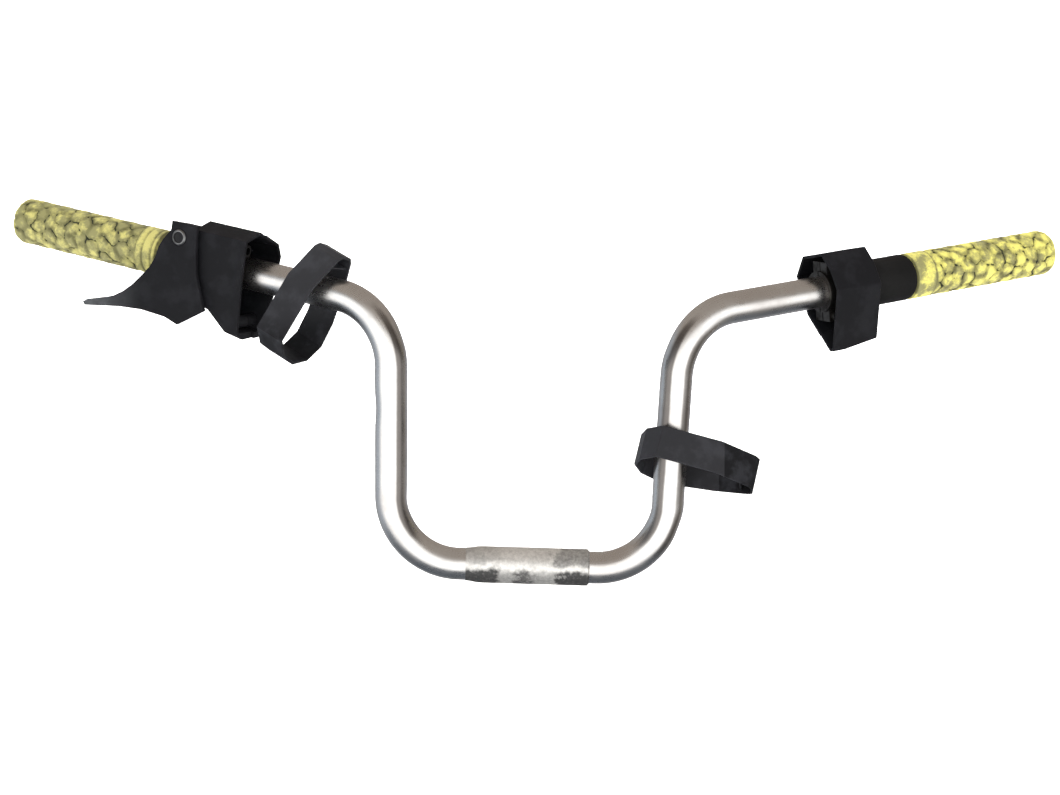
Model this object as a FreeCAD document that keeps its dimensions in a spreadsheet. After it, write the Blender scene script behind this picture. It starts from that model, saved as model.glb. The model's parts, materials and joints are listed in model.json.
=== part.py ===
import FreeCAD, Part
import Sketcher
import math
import os

os.makedirs("parts", exist_ok=True)

Vector = FreeCAD.Vector
Rotation = FreeCAD.Rotation
Placement = FreeCAD.Placement

doc = FreeCAD.newDocument("handlebar")

# Driving sizes, in millimetres and degrees.
SIZES = {
    "tube_radius": 11.1,
    "tube_wall": 2.0,
    "base_half": 94.0,
    "corner_half": 98.5,
    "rise": 176.0,
    "bar_end": 311.0,
    "bend_radius": 48.0,
    "pullback_angle": 28.0,
    "upsweep_angle": 7.5,
    "clamp_sleeve_radius": 12.7,
    "clamp_sleeve_half": 42.5,
    "clamp_sleeve_chamfer": 0.8,
    "grip_radius": 16.0,
    "grip_band_radius": 16.7,
    "grip_cap": 4.5,
    "throttle_grip_start": 187.0,
    "throttle_grip_end": 316.0,
    "control_grip_start": 192.2,
    "control_grip_end": 322.0,
    "spacer_radius": 16.6,
    "spacer_start": 153.3,
    "spacer_end": 191.9,
    "throttle_station": 130.0,
    "control_station": 133.0,
    "shell_wall": 2.0,
    "shell_parting": 0.15,
    "tube_clearance": 0.4,
    "collar_radius": 14.6,
    "collar_length": 14.0,
    "collar_gap": 0.5,
    "lug_reach": 21.0,
    "lug_depth": 8.0,
    "lug_screw_height": 17.2,
    "lug_screw_radius": 2.0,
    "lug_head_radius": 3.4,
    "lug_head_height": 3.0,
    "shell_screw_radius": 1.5,
    "shell_head_radius": 3.0,
    "shell_head_height": 2.0,
    "shell_boss_radius": 4.3,
    "pivot_along": -29.8,
    "pivot_height": 18.5,
    "pivot_shaft_radius": 3.0,
    "pivot_head_radius": 4.1,
    "pivot_running_gap": 0.05,
    "bush_radius": 4.4,
    "lever_thickness": 3.0,
    "lever_face": -24.0,
    "thumb_pad_depth": 17.0,
    "thumb_pad_thickness": 2.6,
    "drum_radius": 6.3,
    "drum_width": 3.2,
    "spring_radius": 4.6,
    "spring_wire_radius": 0.5,
    "spring_pitch": 1.6,
    "spring_length": 9.0,
    "adjuster_depth": -15.0,
    "adjuster_height": 17.8,
    "adjuster_thread_radius": 3.0,
    "adjuster_head_radius": 4.2,
    "cable_socket_radius": 2.6,
    "cable_socket_depth": 6.0,
    "strap_width": 23.0,
    "strap_wall": 1.8,
}

sheet = doc.addObject("Spreadsheet::Sheet", "dims")
for row, (alias, value) in enumerate(SIZES.items(), start=1):
    cell = "B%d" % row
    sheet.set("A%d" % row, alias)
    sheet.set(cell, str(value))
    sheet.setAlias(cell, alias)
doc.recompute()

AXIS_DIRECTIONS = {"x": Vector(1, 0, 0), "y": Vector(0, 1, 0), "z": Vector(0, 0, 1)}

FINISHED = []


def size(alias):
    """Read one driving size from the sheet."""
    return float(getattr(sheet, alias))


def bind(thing, field, expression):
    """Drive one field of an object from the sheet."""
    thing.setExpression(field, expression)


def finish(node, thing, placement):
    """Name a finished sub-part and put it in its place on the handlebar."""
    thing.Label = node
    thing.Placement = placement
    FINISHED.append((node, thing))
    return thing


# ---------------------------------------------------------------- outlines


def inset(points, wall):
    """Move every side of a closed convex outline inward by the wall thickness."""
    area = 0.0
    for (x0, y0), (x1, y1) in zip(points, points[1:] + points[:1]):
        area += x0 * y1 - x1 * y0
    turn = 1.0 if area > 0 else -1.0
    moved = []
    for (x0, y0), (x1, y1) in zip(points, points[1:] + points[:1]):
        length = math.hypot(x1 - x0, y1 - y0)
        across = (-turn * (y1 - y0) / length * wall, turn * (x1 - x0) / length * wall)
        moved.append(((x0 + across[0], y0 + across[1]), (x1 + across[0], y1 + across[1])))
    corners = []
    for (a, b), (c, d) in zip(moved[-1:] + moved[:-1], moved):
        ux, uy = b[0] - a[0], b[1] - a[1]
        vx, vy = d[0] - c[0], d[1] - c[1]
        cross = ux * vy - uy * vx
        step = ((c[0] - a[0]) * vy - (c[1] - a[1]) * vx) / cross
        corners.append((a[0] + ux * step, a[1] + uy * step))
    return corners


def half_outline(points, limit, keep):
    """Keep the part of an outline on one side of the line first coordinate = limit."""
    kept = []
    for start, end in zip(points, points[1:] + points[:1]):
        start_in = (start[0] - limit) * keep >= 0
        end_in = (end[0] - limit) * keep >= 0
        if start_in:
            kept.append(start)
        if start_in != end_in:
            share = (limit - start[0]) / (end[0] - start[0])
            kept.append((limit, start[1] + share * (end[1] - start[1])))
    return kept


def draw_loop(sketch, points):
    """Add one closed loop of straight lines to a sketch."""
    first = sketch.GeometryCount
    count = len(points)
    for start, end in zip(points, points[1:] + points[:1]):
        line = Part.LineSegment(Vector(start[0], start[1], 0), Vector(end[0], end[1], 0))
        sketch.addGeometry(line, False)
    for index in range(count):
        following = (index + 1) % count
        sketch.addConstraint(
            Sketcher.Constraint("Coincident", first + index, 2, first + following, 1)
        )
    return first


def hold_corner(sketch, corner, direction, expression, value):
    """Tie one corner of a loop to the sheet, along or across the sketch."""
    rule = Sketcher.Constraint(direction, -1, 1, corner, 1, value)
    index = sketch.addConstraint(rule)
    sketch.setExpression("Constraints[%d]" % index, expression)


# ------------------------------------------------------- solids and booleans


def prism(name, axis, points, low, high):
    """Extrude a closed outline from low to high along one local axis."""
    rotations = {
        "x": Rotation(Vector(0, 1, 0), Vector(0, 0, 1), Vector(1, 0, 0), "ZXY"),
        "y": Rotation(Vector(1, 0, 0), Vector(0, 0, 1), Vector(0, -1, 0), "ZXY"),
        "z": Rotation(),
    }
    direction = AXIS_DIRECTIONS[axis]
    sketch = doc.addObject("Sketcher::SketchObject", name + "_outline")
    sketch.Placement = Placement(direction * low, rotations[axis])
    draw_loop(sketch, points)
    solid = doc.addObject("Part::Extrusion", name)
    solid.Base = sketch
    solid.DirMode = "Custom"
    solid.Dir = direction
    solid.LengthFwd = high - low
    solid.Solid = True
    return solid


def rod(name, radius, start, end):
    """A round rod between two points; radius is a size expression in words."""
    span = Vector(*end) - Vector(*start)
    solid = doc.addObject("Part::Cylinder", name)
    bind(solid, "Radius", radius)
    solid.Height = span.Length
    solid.Placement = Placement(Vector(*start), Rotation(Vector(0, 0, 1), span))
    return solid


def block(name, low, high):
    """A rectangular block between two corners."""
    solid = doc.addObject("Part::Box", name)
    solid.Length = high[0] - low[0]
    solid.Width = high[1] - low[1]
    solid.Height = high[2] - low[2]
    solid.Placement = Placement(Vector(*low), Rotation())
    return solid


def hexagon(across_flats, centre):
    """Corners of a regular hexagon with two flats facing the first axis."""
    reach = across_flats / math.sqrt(3.0)
    corners = []
    for step in range(6):
        angle = math.radians(60.0 * step + 30.0)
        corners.append((centre[0] + reach * math.cos(angle), centre[1] + reach * math.sin(angle)))
    return corners


def fuse(name, *things):
    joined = doc.addObject("Part::MultiFuse", name)
    joined.Shapes = list(things)
    joined.Refine = True
    return joined


def overlap(name, *things):
    shared = doc.addObject("Part::MultiCommon", name)
    shared.Shapes = list(things)
    return shared


def cut(name, base, *tools):
    """Take one or more tools away from a base solid."""
    tool = tools[0]
    if len(tools) > 1:
        tool = fuse(name + "_tools", *tools)
    result = doc.addObject("Part::Cut", name)
    result.Base = base
    result.Tool = tool
    result.Refine = True
    return result


def group(name, things):
    """Identical fasteners held together as one node of separate solids."""
    result = doc.addObject("Part::Compound", name)
    result.Links = list(things)
    return result


# ------------------------------------------------------------ bodies


def origin_plane(body, role):
    for feature in body.Origin.OriginFeatures:
        if feature.Role == role:
            return feature
    return None


def body_sketch(body, name, role, offset):
    """A sketch lying on one of the body's own origin planes."""
    sketch = body.newObject("Sketcher::SketchObject", name)
    sketch.AttachmentSupport = [(origin_plane(body, role), "")]
    sketch.MapMode = "FlatFace"
    sketch.AttachmentOffset = Placement(Vector(0, 0, offset), Rotation())
    return sketch


def turned_body(node, profile, held=()):
    """A round part turned about its local X axis from a half profile."""
    body = doc.addObject("PartDesign::Body", node)
    sketch = body_sketch(body, node + "_profile", "XY_Plane", 0.0)
    draw_loop(sketch, profile)
    for corner, direction, expression in held:
        point = profile[corner]
        value = point[0] if direction == "DistanceX" else point[1]
        hold_corner(sketch, corner, direction, expression, value)
    turn = body.newObject("PartDesign::Revolution", node + "_turn")
    turn.Profile = sketch
    turn.ReferenceAxis = (sketch, ["H_Axis"])
    turn.Angle = 360.0
    doc.recompute()
    return body


def add_pad(body, name, sketch, length, backwards=False):
    pad = body.newObject("PartDesign::Pad", name)
    pad.Profile = sketch
    if isinstance(length, str):
        bind(pad, "Length", length)
    else:
        pad.Length = length
    pad.Reversed = backwards
    doc.recompute()
    return pad


def add_pocket(body, name, sketch, backwards=False):
    """Cut right through the body and make sure that something was removed."""
    before = body.Shape.Volume
    pocket = body.newObject("PartDesign::Pocket", name)
    pocket.Profile = sketch
    pocket.Type = "ThroughAll"
    pocket.Midplane = True
    pocket.Reversed = backwards
    doc.recompute()
    if body.Shape.Volume >= before - 1e-6:
        raise RuntimeError(name + " removed nothing")
    return pocket


# ------------------------------------------------------- layout of the bar


def grip_direction(side):
    """Unit direction of a grip, pointing outward from its bend."""
    pull = math.radians(size("pullback_angle"))
    sweep = math.radians(size("upsweep_angle"))
    flat = math.cos(sweep)
    return Vector(side * flat * math.cos(pull), flat * math.sin(pull), math.sin(sweep))


def riser_corner(side):
    return Vector(side * size("corner_half"), 0.0, size("rise"))


def grip_frame(side, station):
    """Frame on a grip's axis: X to the right, Y to the rear, Z up."""
    outward = grip_direction(side)
    across = outward * side
    upward = Vector(0, 0, 1) - outward * outward.z
    upward.normalize()
    rearward = upward.cross(across)
    turn = Rotation(across, rearward, upward, "ZXY")
    return Placement(riser_corner(side) + outward * station, turn)


def outward_frame(side, station):
    """Frame on a grip's axis with X pointing outward, for turned parts."""
    if side > 0:
        return grip_frame(side, station)
    half_turn = Rotation(Vector(0, 0, 1), 180.0)
    return grip_frame(side, station).multiply(Placement(Vector(), half_turn))


def bar_centreline():
    """Straight runs joined by equal bends, from one end of the bar to the other."""
    radius = size("bend_radius")
    corners = [
        riser_corner(-1) + grip_direction(-1) * size("bar_end"),
        riser_corner(-1),
        Vector(-size("base_half"), 0, 0),
        Vector(size("base_half"), 0, 0),
        riser_corner(1),
        riser_corner(1) + grip_direction(1) * size("bar_end"),
    ]
    edges = []
    cursor = corners[0]
    for before, corner, after in zip(corners, corners[1:], corners[2:]):
        towards_start = (before - corner).normalize()
        towards_end = (after - corner).normalize()
        half = towards_start.getAngle(towards_end) / 2.0
        start = corner + towards_start * (radius / math.tan(half))
        end = corner + towards_end * (radius / math.tan(half))
        inward = (towards_start + towards_end).normalize()
        middle = corner + inward * (radius / math.sin(half) - radius)
        edges.append(Part.makeLine(cursor, start))
        edges.append(Part.Arc(start, middle, end).toShape())
        cursor = end
    edges.append(Part.makeLine(cursor, corners[-1]))
    return Part.Wire(edges)


def make_handlebar_tube():
    """Bent round tube, hollow from end to end."""
    path = doc.addObject("Part::Feature", "bar_centreline")
    path.Shape = bar_centreline()
    start = riser_corner(-1) + grip_direction(-1) * size("bar_end")
    facing = Placement(start, Rotation(Vector(0, 0, 1), grip_direction(-1)))
    edges = ["Edge%d" % (index + 1) for index in range(len(path.Shape.Edges))]
    sweeps = []
    for name, radius in (
        ("tube_outside", "dims.tube_radius"),
        ("tube_inside", "dims.tube_radius - dims.tube_wall"),
    ):
        circle = doc.addObject("Part::Circle", name + "_circle")
        bind(circle, "Radius", radius)
        circle.Placement = facing
        sweep = doc.addObject("Part::Sweep", name)
        sweep.Sections = [circle]
        sweep.Spine = (path, edges)
        sweep.Solid = True
        sweep.Frenet = False
        sweeps.append(sweep)
    finish("handlebar_tube", cut("tube", *sweeps), Placement())


def make_clamp_sleeve():
    """Thicker sleeve at the middle of the bar, where the riser clamps close."""
    inner = size("tube_radius")
    outer = size("clamp_sleeve_radius")
    half = size("clamp_sleeve_half")
    chamfer = size("clamp_sleeve_chamfer")
    profile = [
        (-half, inner),
        (half, inner),
        (half, outer - chamfer),
        (half - chamfer, outer),
        (-half + chamfer, outer),
        (-half, outer - chamfer),
    ]
    held = (
        (0, "DistanceY", "dims.tube_radius"),
        (1, "DistanceY", "dims.tube_radius"),
        (1, "DistanceX", "dims.clamp_sleeve_half"),
        (3, "DistanceY", "dims.clamp_sleeve_radius"),
        (4, "DistanceY", "dims.clamp_sleeve_radius"),
    )
    finish("clamp_sleeve", turned_body("clamp_sleeve", profile, held), Placement())


def grip_profile(length, bands):
    """Half profile of a closed rubber grip, from its inner end outward."""
    bore = size("tube_radius")
    body = size("grip_radius")
    band = size("grip_band_radius")
    cap = size("grip_cap")
    profile = [(length - cap, 0.0), (length - cap, bore), (0.0, bore)]
    profile.append((0.0, band - 0.6))
    profile.append((0.6, band))
    for start, end in bands:
        if start > 0.6:
            profile.append((start, body))
            profile.append((start + 0.6, band))
        profile.append((end - 0.6, band))
        profile.append((end, body))
    profile.append((length - 8.0, body))
    profile.append((length - 7.2, body + 0.5))
    profile.append((length - 3.0, body + 0.5))
    profile.append((length - 1.0, body - 0.9))
    profile.append((length, body - 3.4))
    profile.append((length, 0.0))
    return profile


def make_grips():
    """One grip at each end: raised rings on the throttle side, one plain band on the other."""
    for node, side, name, bands in (
        ("throttle_side_grip", -1, "throttle_grip", ((0.0, 3.0), (4.0, 10.5), (11.5, 17.0))),
        ("control_side_grip", 1, "control_grip", ((0.0, 16.0),)),
    ):
        start = size(name + "_start")
        length = size(name + "_end") - start
        held = (
            (1, "DistanceY", "dims.tube_radius"),
            (2, "DistanceY", "dims.tube_radius"),
            (4, "DistanceY", "dims.grip_band_radius"),
        )
        body = turned_body(node, grip_profile(length, bands), held)
        finish(node, body, outward_frame(side, start))


def make_control_side_spacer():
    """Black collar between the control housing and its grip."""
    length = size("spacer_end") - size("spacer_start")
    inner = size("tube_radius")
    outer = size("spacer_radius")
    profile = [
        (0.0, inner),
        (length, inner),
        (length, outer - 2.4),
        (length - 1.2, outer - 0.9),
        (length - 4.0, outer),
        (1.0, outer),
        (0.0, outer - 1.0),
    ]
    held = (
        (0, "DistanceY", "dims.tube_radius"),
        (1, "DistanceY", "dims.tube_radius"),
        (4, "DistanceY", "dims.spacer_radius"),
        (5, "DistanceY", "dims.spacer_radius"),
    )
    body = turned_body("control_side_spacer", profile, held)
    finish("control_side_spacer", body, outward_frame(1, size("spacer_start")))


# ----------------------------------------------------- collars in the housings


def make_collar_half(node, frame, centre, keep):
    """Half of the split collar that grips the tube inside a housing."""
    half_length = size("collar_length") / 2.0
    gap = size("collar_gap")
    reach = size("lug_reach")
    depth = size("lug_depth")
    low, high = centre - half_length, centre + half_length
    ring = rod(node + "_ring", "dims.collar_radius", (low, 0, 0), (high, 0, 0))
    near, far = sorted((keep * gap, keep * depth))
    lugs = block(
        node + "_lugs",
        (centre - half_length + 2.0, near, -reach),
        (centre + half_length - 2.0, far, reach),
    )
    near, far = sorted((keep * gap, keep * 40.0))
    side = block(node + "_side", (low - 1.0, near, -40.0), (high + 1.0, far, 40.0))
    solid = overlap(node + "_half", fuse(node + "_blank", ring, lugs), side)
    bore = rod(node + "_bore", "dims.tube_radius", (low - 1.0, 0, 0), (high + 1.0, 0, 0))
    slack = " + 0.2" if keep < 0 else ""
    holes = []
    for number, sign in enumerate((-1, 1)):
        height = sign * size("lug_screw_height")
        holes.append(rod(
            "%s_hole_%d" % (node, number),
            "dims.lug_screw_radius" + slack,
            (centre, -20.0, height),
            (centre, 20.0, height),
        ))
    finish(node, cut(node + "_solid", solid, bore, *holes), frame)


def make_socket_screw(name, radius, head_radius, head_height, tip, head):
    """A screw along Y with a round head and a hexagon socket; head is the seat height."""
    along, height = tip[0], tip[2]
    outward = 1.0 if head > tip[1] else -1.0
    top = head + outward * size(head_height)
    shank = rod(name + "_shank", "dims." + radius, tip, (along, head, height))
    cap = rod(name + "_cap", "dims." + head_radius, (along, head, height), (along, top, height))
    deep = top - outward * 0.55 * size(head_height)
    low, high = sorted((deep, top + outward))
    flats = 1.05 * size(head_radius)
    socket = prism(name + "_socket", "y", hexagon(flats, (along, height)), low, high)
    return cut(name, fuse(name + "_blank", shank, cap), socket)


def make_collar(side_name, frame, centre):
    make_collar_half(side_name + "_collar_front", frame, centre, -1)
    make_collar_half(side_name + "_collar_rear", frame, centre, 1)
    depth = size("lug_depth")
    screws = []
    for number, sign in enumerate((-1, 1)):
        tip = (centre, depth, sign * size("lug_screw_height"))
        screws.append(make_socket_screw(
            "%s_collar_screw_%d" % (side_name, number),
            "lug_screw_radius",
            "lug_head_radius",
            "lug_head_height",
            tip,
            -depth,
        ))
    node = side_name + "_collar_screws"
    finish(node, group(side_name + "_collar_screw_set", screws), frame)


# ------------------------------------------------------------ housing shells

# Outlines across the bar are (rearward, upward); side outlines are (along, upward).
THROTTLE_SECTION = [
    (-5.0, 31.0), (-22.0, 25.5), (-22.0, -3.0), (-19.0, -41.0), (-11.0, -45.0),
    (7.0, -44.0), (19.0, -16.0), (22.0, 13.0), (17.0, 22.0),
]
THROTTLE_NOSE_SECTION = [
    (-22.0, 28.2), (-22.0, -8.0), (-12.0, -15.0), (10.0, -15.0),
    (17.0, -6.0), (17.0, 10.0), (10.0, 23.4), (0.0, 25.2),
]
CONTROL_SECTION = [
    (-7.0, 28.0), (-17.0, 17.5), (-24.0, 3.5), (-14.6, -41.0),
    (-10.0, -41.5), (14.0, -18.0), (25.0, 9.0), (16.0, 24.0),
]
NOSE_START = -41.0
NOSE_END = -21.0
THROTTLE_OPEN_END = {-1: 22.0, 1: 24.0}
CONTROL_OPEN_END = -18.0
CONTROL_CLOSED_END = 20.0
BEYOND = 30.0


def throttle_side_outline(open_end):
    return [
        (NOSE_END, 40.0), (NOSE_END, -24.0), (-4.0, -28.0),
        (11.0, -40.5), (open_end, -46.0), (open_end, 40.0),
    ]


def control_side_outline(open_end):
    return [
        (open_end, 40.0), (open_end, -42.0), (-14.0, -42.0),
        (CONTROL_CLOSED_END, -37.0), (CONTROL_CLOSED_END, 40.0),
    ]


def shell_half(name, section, side_outline, inner_side_outline, keep, low, high):
    """Outside and inside of half a housing, split on the plane through the bar."""
    parting = keep * size("shell_parting")
    wall = size("shell_wall")
    outside = overlap(
        name + "_outside",
        prism(name + "_across", "x", half_outline(section, parting, keep), low, high),
        prism(name + "_along", "y", side_outline, -BEYOND * 2, BEYOND * 2),
    )
    hollow = half_outline(inset(section, wall), -keep * 1.0, keep)
    inside = overlap(
        name + "_inside",
        prism(name + "_hollow_across", "x", hollow, low - BEYOND, high + BEYOND),
        prism(name + "_hollow_along", "y", inner_side_outline, -BEYOND * 2, BEYOND * 2),
    )
    return outside, inside


def shell_boss(name, outside, keep, along, height, depth):
    """Solid post inside a shell half for one shell screw."""
    start = keep * size("shell_parting")
    post = rod(
        name + "_post",
        "dims.shell_boss_radius",
        (along, start, height),
        (along, keep * depth, height),
    )
    return overlap(name, post, outside)


def shell_screw_hole(name, along, height, low, high, slack):
    radius = "dims.shell_screw_radius + %.2f" % slack
    return rod(name, radius, (along, low, height), (along, high, height))


# Each shell screw: position along the bar, height, tip depth in front, head seat at the rear.
THROTTLE_SHELL_SCREWS = ((14.0, -34.0, -11.0, 5.0), (-14.0, -18.5, -11.0, 12.0))
CONTROL_SHELL_SCREWS = ((6.0, -21.5, -12.0, 3.6), (9.0, 19.0, -9.0, 13.0))


def make_shell_screws(side_name, frame, places):
    screws = []
    for number, (along, height, tip, seat) in enumerate(places):
        screws.append(make_socket_screw(
            "%s_shell_screw_%d" % (side_name, number),
            "shell_screw_radius",
            "shell_head_radius",
            "shell_head_height",
            (along, tip, height),
            seat,
        ))
    node = side_name + "_shell_screws"
    finish(node, group(side_name + "_shell_screw_set", screws), frame)


def screw_features(name, outside, keep, places):
    """Posts to add and holes to cut for all the screws of one shell half."""
    posts = []
    holes = []
    for number, (along, height, tip, seat) in enumerate(places):
        label = "%s_%d" % (name, number)
        if keep < 0:
            posts.append(shell_boss(label + "_boss", outside, keep, along, height, 40.0))
            holes.append(shell_screw_hole(label + "_hole", along, height, tip - 0.5, 1.0, 0.0))
        else:
            posts.append(shell_boss(label + "_boss", outside, keep, along, height, 40.0))
            holes.append(shell_screw_hole(label + "_hole", along, height, -1.0, 60.0, 0.2))
            holes.append(rod(
                label + "_recess",
                "dims.shell_head_radius + 0.3",
                (along, seat, height),
                (along, 60.0, height),
            ))
    return posts, holes


def make_throttle_shell(node, keep):
    """Half of the throttle housing: open toward the bend, with a nose over the pivot."""
    wall = size("shell_wall")
    open_end = THROTTLE_OPEN_END[keep]
    outline = throttle_side_outline(open_end)
    inner_outline = inset(throttle_side_outline(open_end + BEYOND), wall)
    outside, inside = shell_half(
        node, THROTTLE_SECTION, outline, inner_outline, keep, NOSE_END, open_end
    )
    parting = keep * size("shell_parting")
    nose_half = half_outline(THROTTLE_NOSE_SECTION, parting, keep)
    nose = prism(node + "_nose", "x", nose_half, NOSE_START, NOSE_END)
    nose_hollow = half_outline(inset(THROTTLE_NOSE_SECTION, wall), -keep * 1.0, keep)
    hollow = prism(node + "_nose_hollow", "x", nose_hollow, NOSE_START + wall, NOSE_END + 4.0)
    shell = cut(node + "_shell", fuse(node + "_blank", outside, nose), inside, hollow)

    along = size("pivot_along")
    height = size("pivot_height")
    front = size("lever_face") + 2.0
    posts, holes = screw_features(node, outside, keep, THROTTLE_SHELL_SCREWS)
    if keep < 0:
        posts.append(rod(
            node + "_pivot_boss",
            "dims.bush_radius + 1.6",
            (along, front, height),
            (along, front + 3.6, height),
        ))
        bulkhead = block(node + "_bulkhead", (5.5, -21.5, 11.9), (8.5, -11.6, 27.0))
        posts.append(overlap(node + "_web", bulkhead, outside))
        holes.append(rod(
            node + "_thread",
            "dims.adjuster_thread_radius",
            (0.0, size("adjuster_depth"), size("adjuster_height")),
            (12.0, size("adjuster_depth"), size("adjuster_height")),
        ))
    else:
        posts.append(rod(
            node + "_pivot_boss",
            "dims.bush_radius + 1.4",
            (along, 7.0, height),
            (along, 13.5, height),
        ))
        holes.append(rod(
            node + "_nut_recess",
            "dims.bush_radius + 1.2",
            (along, 13.5, height),
            (along, 40.0, height),
        ))
    holes.append(rod(
        node + "_pivot_hole", "dims.bush_radius", (along, -40.0, height), (along, 40.0, height)
    ))
    holes.append(rod(
        node + "_bar_hole",
        "dims.tube_radius + dims.tube_clearance",
        (NOSE_START - 5.0, 0, 0),
        (NOSE_END, 0, 0),
    ))
    whole = fuse(node + "_with_posts", shell, *posts)
    finish(node, cut(node + "_solid", whole, *holes), grip_frame(-1, size("throttle_station")))


def make_control_shell(node, keep):
    """Half of the control housing: a deep open pocket facing the bend."""
    wall = size("shell_wall")
    outline = control_side_outline(CONTROL_OPEN_END)
    inner_outline = inset(control_side_outline(CONTROL_OPEN_END - BEYOND), wall)
    outside, inside = shell_half(
        node,
        CONTROL_SECTION,
        outline,
        inner_outline,
        keep,
        CONTROL_OPEN_END,
        CONTROL_CLOSED_END,
    )
    shell = cut(node + "_shell", outside, inside)
    posts, holes = screw_features(node, outside, keep, CONTROL_SHELL_SCREWS)
    holes.append(rod(
        node + "_bar_hole",
        "dims.tube_radius + dims.tube_clearance",
        (0.0, 0, 0),
        (CONTROL_CLOSED_END + 5.0, 0, 0),
    ))
    whole = fuse(node + "_with_posts", shell, *posts)
    finish(node, cut(node + "_solid", whole, *holes), grip_frame(1, size("control_station")))


# --------------------------------------------------------------- thumb lever


def pivot_frame(depth):
    """Frame on the lever pivot with local X along the pivot, pointing to the rear."""
    turn = Rotation(Vector(0, 0, 1), 90.0)
    place = Vector(size("pivot_along"), depth, size("pivot_height"))
    return grip_frame(-1, size("throttle_station")).multiply(Placement(place, turn))


# Edge of the lever plate as (along, upward), from its top corner round the beak.
LEVER_OUTER_EDGE = [
    (-36.0, 29.0), (-38.0, 22.0), (-43.0, 15.5), (-46.5, 9.0), (-48.4, 1.0),
    (-52.0, -6.5), (-57.6, -13.5), (-64.5, -21.5), (-72.0, -28.2),
    (-80.0, -33.2), (-90.0, -37.0), (-102.3, -40.3), (-105.9, -42.9),
]
LEVER_INNER_EDGE = [
    (-103.8, -45.0), (-90.0, -42.5), (-74.1, -39.9), (-55.0, -38.2), (-34.7, -39.2),
    (-23.5, -42.5), (-2.5, -28.5), (-7.5, -17.0), (-12.3, -4.5), (-15.0, 12.0),
    (-16.5, 28.6),
]
PAD_FIRST = 7
PAD_LAST = 11


def thumb_pad_outline():
    """Curved strip under the thumb, following the lever's outer edge."""
    run = LEVER_OUTER_EDGE[PAD_FIRST:PAD_LAST + 1]
    thick = size("thumb_pad_thickness")
    lower = []
    for index, point in enumerate(run):
        before = run[max(index - 1, 0)]
        after = run[min(index + 1, len(run) - 1)]
        length = math.hypot(after[0] - before[0], after[1] - before[1])
        across = ((before[1] - after[1]) / length, (after[0] - before[0]) / length)
        lower.append((point[0] - thick * across[0] * -1.0, point[1] - thick * across[1] * -1.0))
    return run + lower[::-1]


def make_throttle_lever():
    """Flat hanging plate with a beak, and a curved pad turned in under the grip."""
    body = doc.addObject("PartDesign::Body", "throttle_lever")
    face = size("lever_face")
    plate = body_sketch(body, "lever_plate_outline", "XZ_Plane", -face)
    draw_loop(plate, LEVER_OUTER_EDGE + LEVER_INNER_EDGE)
    add_pad(body, "lever_plate", plate, "dims.lever_thickness")
    pad = body_sketch(body, "lever_pad_outline", "XZ_Plane", -face)
    draw_loop(pad, thumb_pad_outline())
    add_pad(body, "lever_pad", pad, "dims.thumb_pad_depth", backwards=True)
    hub = body_sketch(body, "lever_hub_outline", "XZ_Plane", -face)
    centre = Vector(size("pivot_along"), size("pivot_height"), 0)
    hub.addGeometry(Part.Circle(centre, Vector(0, 0, 1), 7.0), False)
    add_pad(body, "lever_hub", hub, 1.5, backwards=True)
    bore = body_sketch(body, "lever_bore_outline", "XZ_Plane", -face)
    bore.addGeometry(Part.Circle(centre, Vector(0, 0, 1), size("pivot_shaft_radius")), False)
    index = bore.addConstraint(Sketcher.Constraint("Radius", 0, size("pivot_shaft_radius")))
    bore.setExpression("Constraints[%d]" % index, "dims.pivot_shaft_radius")
    add_pocket(body, "lever_bore", bore)
    finish("throttle_lever", body, grip_frame(-1, size("throttle_station")))


def make_pivot_parts():
    """Shaft with a flat head, bright eyelet, nut and cable drum that turn with the lever."""
    front = size("lever_face") - size("lever_thickness")
    radius = size("pivot_shaft_radius")
    head = size("pivot_head_radius")
    shaft = [
        (0.0, 0.0), (0.0, head), (0.8, head), (0.8, radius), (45.0, radius),
        (45.5, radius - 0.5), (45.5, 0.0),
    ]
    held = (
        (1, "DistanceY", "dims.pivot_head_radius"),
        (2, "DistanceY", "dims.pivot_head_radius"),
        (3, "DistanceY", "dims.pivot_shaft_radius"),
        (4, "DistanceY", "dims.pivot_shaft_radius"),
    )
    body = turned_body("lever_pivot_shaft", shaft, held)
    finish("lever_pivot_shaft", body, pivot_frame(front - 0.8))

    ring = [
        (0.0, head), (1.4, head), (1.4, head + 1.3), (0.7, head + 1.5), (0.0, head + 0.7),
    ]
    body = turned_body("lever_pivot_eyelet", ring)
    finish("lever_pivot_eyelet", body, pivot_frame(front - 1.4))

    nut = prism("pivot_nut_blank", "x", hexagon(8.0, (0.0, 0.0)), 0.0, 3.0)
    bore = rod("pivot_nut_bore", "dims.pivot_shaft_radius", (-1.0, 0, 0), (4.0, 0, 0))
    finish("lever_pivot_nut", cut("pivot_nut", nut, bore), pivot_frame(13.9))

    outer = size("drum_radius")
    width = size("drum_width")
    drum = [
        (0.0, radius), (width, radius), (width, outer), (width - 0.7, outer),
        (width / 2.0, outer - 1.2), (0.7, outer), (0.0, outer),
    ]
    body = turned_body("throttle_cable_drum", drum)
    finish("throttle_cable_drum", body, pivot_frame(-17.8))


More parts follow.
